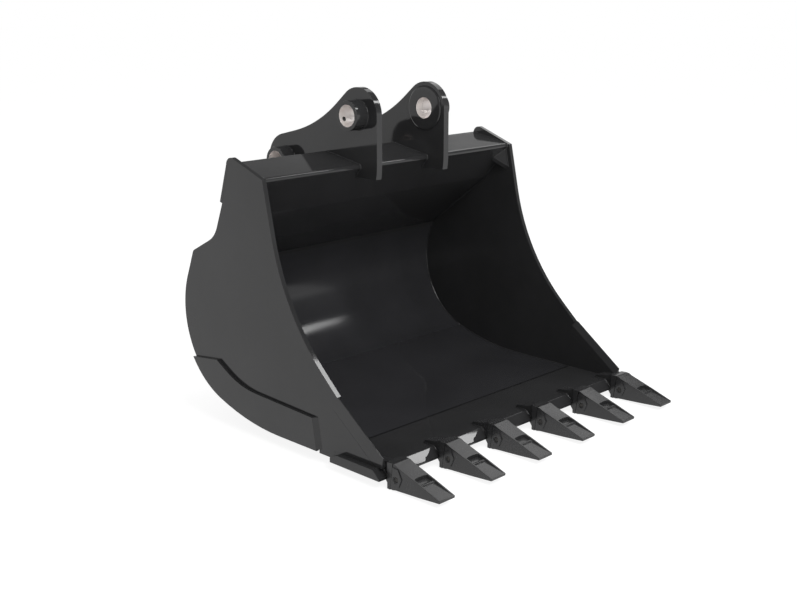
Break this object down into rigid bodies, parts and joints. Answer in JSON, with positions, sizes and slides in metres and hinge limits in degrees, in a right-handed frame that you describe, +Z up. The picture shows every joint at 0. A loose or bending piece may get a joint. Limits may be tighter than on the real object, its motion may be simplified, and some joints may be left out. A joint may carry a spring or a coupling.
{
  "type": "excavator bucket",
  "caption": "Excavator digging bucket with a torque tube, two hanger ears, side cutters, a bevelled cutting edge and pinned teeth.",
  "frame": {"origin": "centre of the stick pin bore, midway between the two hanger ears", "axes": "+X along the pins, the mouth and the teeth towards -Y, +Z up with the flat floor level"},
  "size_m": [1.556, 1.5422, 1.3871],
  "materials": {
    "body_paint": "satin",
    "wear_plate": "satin",
    "tooth_casting": "satin",
    "pin_steel": "satin"
  },
  "bodies": {
    "root": {"side_plate_left": "body_paint", "side_plate_right": "body_paint", "shell_floor": "body_paint", "shell_heel": "body_paint", "shell_back": "body_paint", "tube_plate": "body_paint", "tube_rear_plate": "body_paint", "corner_gusset_left": "body_paint", "corner_gusset_right": "body_paint", "hanger_ear_left": "body_paint", "hanger_ear_right": "body_paint", "stick_boss_left": "body_paint", "stick_boss_right": "body_paint", "link_boss_left": "body_paint", "link_boss_right": "body_paint", "thrust_pad_left": "body_paint", "thrust_pad_right": "body_paint", "side_cutter_left": "wear_plate", "side_cutter_right": "wear_plate", "cutting_edge": "wear_plate", "under_plate": "wear_plate", "heel_band_left": "wear_plate", "heel_band_right": "wear_plate", "floor_strips": "wear_plate", "tooth_adapter_1": "tooth_casting", "tooth_adapter_2": "tooth_casting", "tooth_adapter_3": "tooth_casting", "tooth_adapter_4": "tooth_casting", "tooth_adapter_5": "tooth_casting", "tooth_adapter_6": "tooth_casting", "tooth_tip_1": "tooth_casting", "tooth_tip_2": "tooth_casting", "tooth_tip_3": "tooth_casting", "tooth_tip_4": "tooth_casting", "tooth_tip_5": "tooth_casting", "tooth_tip_6": "tooth_casting", "tooth_pin_1": "pin_steel", "tooth_pin_2": "pin_steel", "tooth_pin_3": "pin_steel", "tooth_pin_4": "pin_steel", "tooth_pin_5": "pin_steel", "tooth_pin_6": "pin_steel", "tooth_retainer_1": "pin_steel", "tooth_retainer_2": "pin_steel", "tooth_retainer_3": "pin_steel", "tooth_retainer_4": "pin_steel", "tooth_retainer_5": "pin_steel", "tooth_retainer_6": "pin_steel"}
  },
  "joints": []
}
